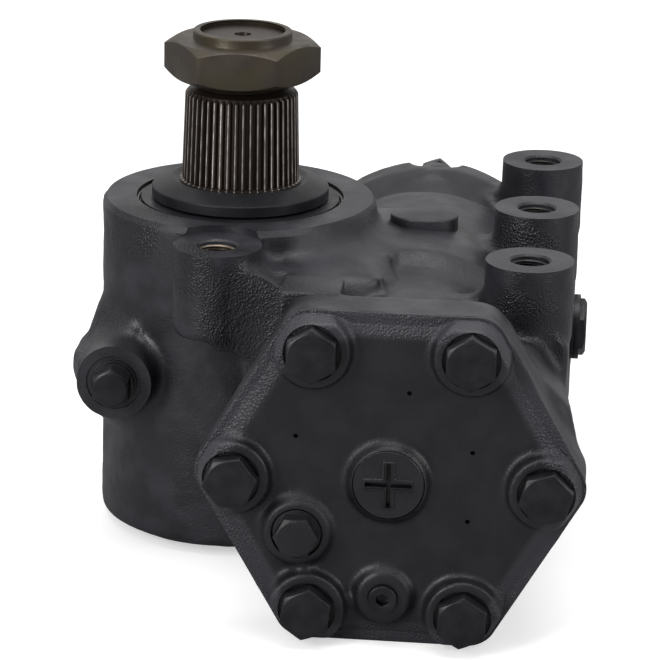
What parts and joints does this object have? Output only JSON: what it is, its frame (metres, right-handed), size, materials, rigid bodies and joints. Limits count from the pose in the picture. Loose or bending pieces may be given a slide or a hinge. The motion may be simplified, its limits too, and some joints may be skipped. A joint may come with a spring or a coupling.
{
  "type": "power steering gear",
  "caption": "Hydraulic truck steering gear: ball screw rack piston in an iron case turns a splined sector shaft",
  "frame": {"origin": "mouth centre of the front mounting hole on the right, in the mounting plane", "axes": "+Z out of the mounting plane, along the sector shaft to its nut; +Y back along the piston, to the input shaft; +X to the side away from the sector shaft"},
  "size_m": [0.2761, 0.448, 0.27],
  "materials": {
    "cast_iron_dark": "satin",
    "cover_iron": "satin",
    "bolt_steel": "satin",
    "plug_steel": "satin",
    "phosphated_steel": "matte",
    "shaft_steel": "satin",
    "bright_steel": "satin",
    "seal_plastic": "matte",
    "black_rubber": "matte"
  },
  "bodies": {
    "case": {"housing": "cast_iron_dark", "end_cover": "cover_iron", "end_cover_seal": "black_rubber", "end_cover_bolts": "bolt_steel", "cover_centre_plug": "plug_steel", "limiter_plug_washer": "plug_steel", "cover_limiter_plug": "plug_steel", "cover_bleed_screw": "plug_steel", "valve_housing": "cast_iron_dark", "valve_housing_seal": "black_rubber", "valve_housing_bolts": "bolt_steel", "worm_bearing_retainer": "bright_steel", "worm_thrust_bearing_front": "bright_steel", "worm_thrust_bearing_rear": "bright_steel", "input_bearing": "bright_steel", "input_shaft_seal": "black_rubber", "sector_bearing_cover": "cover_iron", "sector_cover_seal": "black_rubber", "sector_snap_ring": "shaft_steel", "sector_upper_bearing": "bright_steel", "sector_shaft_seal": "black_rubber", "sector_lower_bearing": "bright_steel", "adjusting_screw": "shaft_steel", "adjuster_lock_nut": "bolt_steel", "relief_plug_washer": "plug_steel", "relief_valve_plug": "bolt_steel", "relief_valve_poppet": "bright_steel", "relief_valve_spring": "shaft_steel", "side_plug_washer": "plug_steel", "side_plug": "bolt_steel"},
    "piston": {"rack_piston": "bright_steel", "piston_ring": "seal_plastic", "recirculating_balls": "bright_steel", "ball_return_tube": "bright_steel"},
    "worm": {"worm": "bright_steel", "torsion_bar": "shaft_steel", "torsion_bar_worm_pin": "bright_steel", "valve_sleeve": "bright_steel", "valve_sleeve_rings": "seal_plastic"},
    "input": {"input_shaft": "shaft_steel", "torsion_bar_input_pin": "bright_steel", "input_dust_cap": "black_rubber"},
    "sector": {"sector_shaft": "shaft_steel", "pitman_nut": "phosphated_steel", "sector_dust_cap": "black_rubber", "adjuster_retainer": "bright_steel"}
  },
  "joints": [
    {"name": "worm_turn", "type": "hinge", "parent": "case", "child": "worm", "pos_m": [-0.0625, 0.23, -0.09], "axis": [0, 1, 0], "range_deg": [-900, 900]},
    {"name": "input_twist", "type": "hinge", "parent": "worm", "child": "input", "pos_m": [-0.0625, 0.26, -0.09], "axis": [0, 1, 0], "range_deg": [-5, 5], "stiffness_Nm_per_rad": 120},
    {"name": "piston_slide", "type": "slide", "parent": "case", "child": "piston", "axis": [0, 1, 0], "range_m": [-0.0412, 0.0412]},
    {"name": "sector_turn", "type": "hinge", "parent": "case", "child": "sector", "pos_m": [-0.1585, 0.085, 0], "axis": [0, 0, 1], "range_deg": [-45, 45]}
  ],
  "couplings": [
    {"joint": "worm_turn", "follows": "piston_slide", "rad_per_m": -380.95},
    {"joint": "sector_turn", "follows": "piston_slide", "rad_per_m": 19.048}
  ]
}
